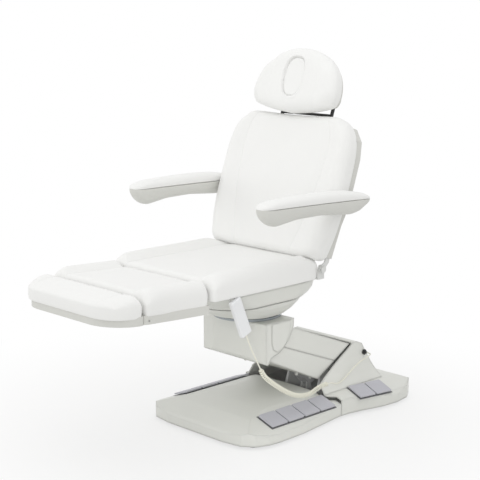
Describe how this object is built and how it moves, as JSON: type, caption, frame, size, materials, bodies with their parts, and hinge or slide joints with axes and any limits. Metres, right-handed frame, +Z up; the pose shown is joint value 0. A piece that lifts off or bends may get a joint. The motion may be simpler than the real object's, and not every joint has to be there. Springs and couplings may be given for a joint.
{
  "type": "podiatry chair",
  "caption": "Electric podiatry chair with a lifting arm, powered back and leg rests, a headrest, swing-up armrests and foot switches.",
  "frame": {"origin": "on the floor, under the middle of the chair's box without its cord", "axes": "+X to the patient's left, +Y to the head end, +Z up"},
  "size_m": [0.7926, 1.5842, 1.4234],
  "materials": {
    "upholstery": "satin white vinyl",
    "cover_plastic": "fine-grained, warm light grey",
    "rest_plastic": "fine-grained, warm light grey",
    "pad_rubber": "matt, grey",
    "tray_plastic": "matt, dark grey",
    "frame_steel": "powder coated",
    "black_steel": "satin black",
    "bright_steel": "turned",
    "ring_gloss": "glossy, blue grey",
    "drive_plastic": "moulded, dark grey",
    "foot_rubber": "matt",
    "inlet_plastic": "matt, black",
    "cord_sheath": "smooth, cream",
    "handset_plastic": "fine-grained, light"
  },
  "bodies": {
    "base": {"base_frame": "frame_steel", "front_base_cover": "cover_plastic", "rear_base_cover": "cover_plastic", "levelling_feet": "foot_rubber", "switch_trays": "tray_plastic", "control_box": "drive_plastic", "mains_inlet": "inlet_plastic", "cord_gland": "handset_plastic", "base_pivot_pins": "bright_steel", "handset_cord_curls": "cord_sheath", "handset_cord_tails": "cord_sheath"},
    "lift_arm": {"arm_frame": "frame_steel", "arm_cover_upper": "cover_plastic", "arm_cover_lower": "cover_plastic"},
    "levelling_link": {"parallel_link": "frame_steel"},
    "lift_drive": {"lift_actuator": "drive_plastic"},
    "lift_spindle": {"lift_rod": "bright_steel"},
    "lift_head": {"head_frame": "frame_steel", "head_cover": "cover_plastic", "head_pivot_pins": "bright_steel"},
    "turntable": {"turntable_frame": "ring_gloss", "lower_pan": "cover_plastic"},
    "tilt_drive": {"tilt_actuator": "drive_plastic"},
    "tilt_spindle": {"tilt_rod": "bright_steel"},
    "seat": {"seat_frame": "frame_steel", "seat_pan": "cover_plastic", "seat_cushion": "upholstery", "handset_hook": "bright_steel", "handset": "handset_plastic", "back_actuator": "drive_plastic", "leg_actuator": "drive_plastic"},
    "back_spindle": {"back_rod": "bright_steel"},
    "leg_spindle": {"leg_rod": "bright_steel"},
    "leg": {"leg_frame": "frame_steel", "calf_shell": "rest_plastic", "calf_cushion": "upholstery"},
    "foot": {"foot_shell": "rest_plastic", "foot_cushion": "upholstery"},
    "back": {"back_frame": "frame_steel", "back_shell": "rest_plastic", "back_cushion": "upholstery"},
    "headrest_bars": {"headrest_bracket": "black_steel"},
    "headrest": {"headrest_shell": "rest_plastic", "headrest_cushion": "upholstery"},
    "left_armrest": {"left_armrest_shell": "rest_plastic", "left_armrest_pad": "upholstery"},
    "right_armrest": {"right_armrest_shell": "rest_plastic", "right_armrest_pad": "upholstery"},
    "left_switch_1": {"left_pad_1": "pad_rubber"},
    "left_switch_2": {"left_pad_2": "pad_rubber"},
    "left_switch_3": {"left_pad_3": "pad_rubber"},
    "left_switch_4": {"left_pad_4": "pad_rubber"},
    "left_switch_5": {"left_pad_5": "pad_rubber"},
    "left_switch_6": {"left_pad_6": "pad_rubber"},
    "right_switch_1": {"right_pad_1": "pad_rubber"},
    "right_switch_2": {"right_pad_2": "pad_rubber"},
    "right_switch_3": {"right_pad_3": "pad_rubber"},
    "right_switch_4": {"right_pad_4": "pad_rubber"},
    "right_switch_5": {"right_pad_5": "pad_rubber"},
    "right_switch_6": {"right_pad_6": "pad_rubber"}
  },
  "joints": [
    {"name": "lift", "type": "hinge", "parent": "base", "child": "lift_arm", "pos_m": [0, 0.453, 0.184], "axis": [-1, 0, 0], "range_deg": [-12, 36], "deforming": ["handset_cord_curls", "handset_cord_tails"]},
    {"name": "link_pivot", "type": "hinge", "parent": "base", "child": "levelling_link", "pos_m": [0, 0.438, 0.139], "axis": [-1, 0, 0], "range_deg": [-12.5, 36.5]},
    {"name": "head_levelling", "type": "hinge", "parent": "lift_arm", "child": "lift_head", "pos_m": [0, 0.10399, 0.32007], "axis": [-1, 0, 0], "range_deg": [-36.5, 12.5]},
    {"name": "lift_drive_pivot", "type": "hinge", "parent": "base", "child": "lift_drive", "pos_m": [0, 0.415, 0.0806], "axis": [-1, 0, 0], "range_deg": [-10, 29]},
    {"name": "lift_stroke", "type": "slide", "parent": "lift_drive", "child": "lift_spindle", "axis": [0, -0.6977, 0.7164], "range_m": [-0.022, 0.058]},
    {"name": "swivel", "type": "hinge", "parent": "lift_head", "child": "turntable", "pos_m": [0, 0.075, 0.4], "axis": [0, 0, 1], "range_deg": [-120, 120]},
    {"name": "seat_tilt", "type": "hinge", "parent": "turntable", "child": "seat", "pos_m": [0, 0.212, 0.523], "axis": [-1, 0, 0], "range_deg": [0, 12]},
    {"name": "tilt_drive_pivot", "type": "hinge", "parent": "turntable", "child": "tilt_drive", "pos_m": [0, -0.02, 0.462], "axis": [1, 0, 0], "range_deg": [-1, 5]},
    {"name": "tilt_stroke", "type": "slide", "parent": "tilt_drive", "child": "tilt_spindle", "axis": [0, 0.8133, 0.5818], "range_m": [0, 0.021]},
    {"name": "backrest", "type": "hinge", "parent": "seat", "child": "back", "pos_m": [0, 0.195, 0.62], "axis": [-1, 0, 0], "range_deg": [-4, 70]},
    {"name": "backrest_stroke", "type": "slide", "parent": "seat", "child": "back_spindle", "axis": [0, 1, 0], "range_m": [-0.088, 0.006]},
    {"name": "leg_rest", "type": "hinge", "parent": "seat", "child": "leg", "pos_m": [0, -0.363, 0.56], "axis": [1, 0, 0], "range_deg": [-3, 80]},
    {"name": "leg_rest_stroke", "type": "slide", "parent": "seat", "child": "leg_spindle", "axis": [0, 1, 0], "range_m": [-0.003, 0.05]},
    {"name": "foot_extension", "type": "slide", "parent": "leg", "child": "foot", "axis": [0, -0.999, 0.0436], "range_m": [0, 0.1]},
    {"name": "headrest_height", "type": "slide", "parent": "back", "child": "headrest_bars", "axis": [0, 0.3305, 0.9438], "range_m": [0, 0.1]},
    {"name": "headrest_tilt", "type": "hinge", "parent": "headrest_bars", "child": "headrest", "pos_m": [0, 0.4247, 1.23356], "axis": [1, 0, 0], "range_deg": [-35, 3]},
    {"name": "left_armrest_lift", "type": "hinge", "parent": "back", "child": "left_armrest", "pos_m": [0.323, 0.28499, 0.86185], "axis": [-0.9993, 0.0367, 0], "range_deg": [-71, 95]},
    {"name": "right_armrest_lift", "type": "hinge", "parent": "back", "child": "right_armrest", "pos_m": [-0.323, 0.28499, 0.86185], "axis": [-0.9993, -0.0367, 0], "range_deg": [-71, 95]},
    {"name": "left_switch_1_press", "type": "slide", "parent": "base", "child": "left_switch_1", "axis": [-0.3191, 0, -0.9477], "range_m": [0, 0.003], "stiffness_N_per_m": 2500, "springref_m": -0.001},
    {"name": "left_switch_2_press", "type": "slide", "parent": "base", "child": "left_switch_2", "axis": [-0.3191, 0, -0.9477], "range_m": [0, 0.003], "stiffness_N_per_m": 2500, "springref_m": -0.001},
    {"name": "left_switch_3_press", "type": "slide", "parent": "base", "child": "left_switch_3", "axis": [-0.3191, 0, -0.9477], "range_m": [0, 0.003], "stiffness_N_per_m": 2500, "springref_m": -0.001},
    {"name": "left_switch_4_press", "type": "slide", "parent": "base", "child": "left_switch_4", "axis": [-0.3191, 0, -0.9477], "range_m": [0, 0.003], "stiffness_N_per_m": 2500, "springref_m": -0.001},
    {"name": "left_switch_5_press", "type": "slide", "parent": "base", "child": "left_switch_5", "axis": [-0.3271, 0, -0.945], "range_m": [0, 0.003], "stiffness_N_per_m": 2500, "springref_m": -0.001},
    {"name": "left_switch_6_press", "type": "slide", "parent": "base", "child": "left_switch_6", "axis": [-0.3271, 0, -0.945], "range_m": [0, 0.003], "stiffness_N_per_m": 2500, "springref_m": -0.001},
    {"name": "right_switch_1_press", "type": "slide", "parent": "base", "child": "right_switch_1", "axis": [0.3191, 0, -0.9477], "range_m": [0, 0.003], "stiffness_N_per_m": 2500, "springref_m": -0.001},
    {"name": "right_switch_2_press", "type": "slide", "parent": "base", "child": "right_switch_2", "axis": [0.3191, 0, -0.9477], "range_m": [0, 0.003], "stiffness_N_per_m": 2500, "springref_m": -0.001},
    {"name": "right_switch_3_press", "type": "slide", "parent": "base", "child": "right_switch_3", "axis": [0.3191, 0, -0.9477], "range_m": [0, 0.003], "stiffness_N_per_m": 2500, "springref_m": -0.001},
    {"name": "right_switch_4_press", "type": "slide", "parent": "base", "child": "right_switch_4", "axis": [0.3191, 0, -0.9477], "range_m": [0, 0.003], "stiffness_N_per_m": 2500, "springref_m": -0.001},
    {"name": "right_switch_5_press", "type": "slide", "parent": "base", "child": "right_switch_5", "axis": [0.3271, 0, -0.945], "range_m": [0, 0.003], "stiffness_N_per_m": 2500, "springref_m": -0.001},
    {"name": "right_switch_6_press", "type": "slide", "parent": "base", "child": "right_switch_6", "axis": [0.3271, 0, -0.945], "range_m": [0, 0.003], "stiffness_N_per_m": 2500, "springref_m": -0.001}
  ],
  "couplings": [
    {"joint": "link_pivot", "follows": "lift", "ratio": 1},
    {"joint": "head_levelling", "follows": "lift", "ratio": -1},
    {"joint": "lift_drive_pivot", "follows": "lift", "ratio": 0.78},
    {"joint": "lift_stroke", "follows": "lift", "m_per_rad": 0.089},
    {"joint": "tilt_drive_pivot", "follows": "seat_tilt", "ratio": 0.32},
    {"joint": "tilt_stroke", "follows": "seat_tilt", "m_per_rad": 0.092},
    {"joint": "backrest_stroke", "follows": "backrest", "m_per_rad": -0.0707},
    {"joint": "leg_rest_stroke", "follows": "leg_rest", "m_per_rad": 0.0353}
  ]
}
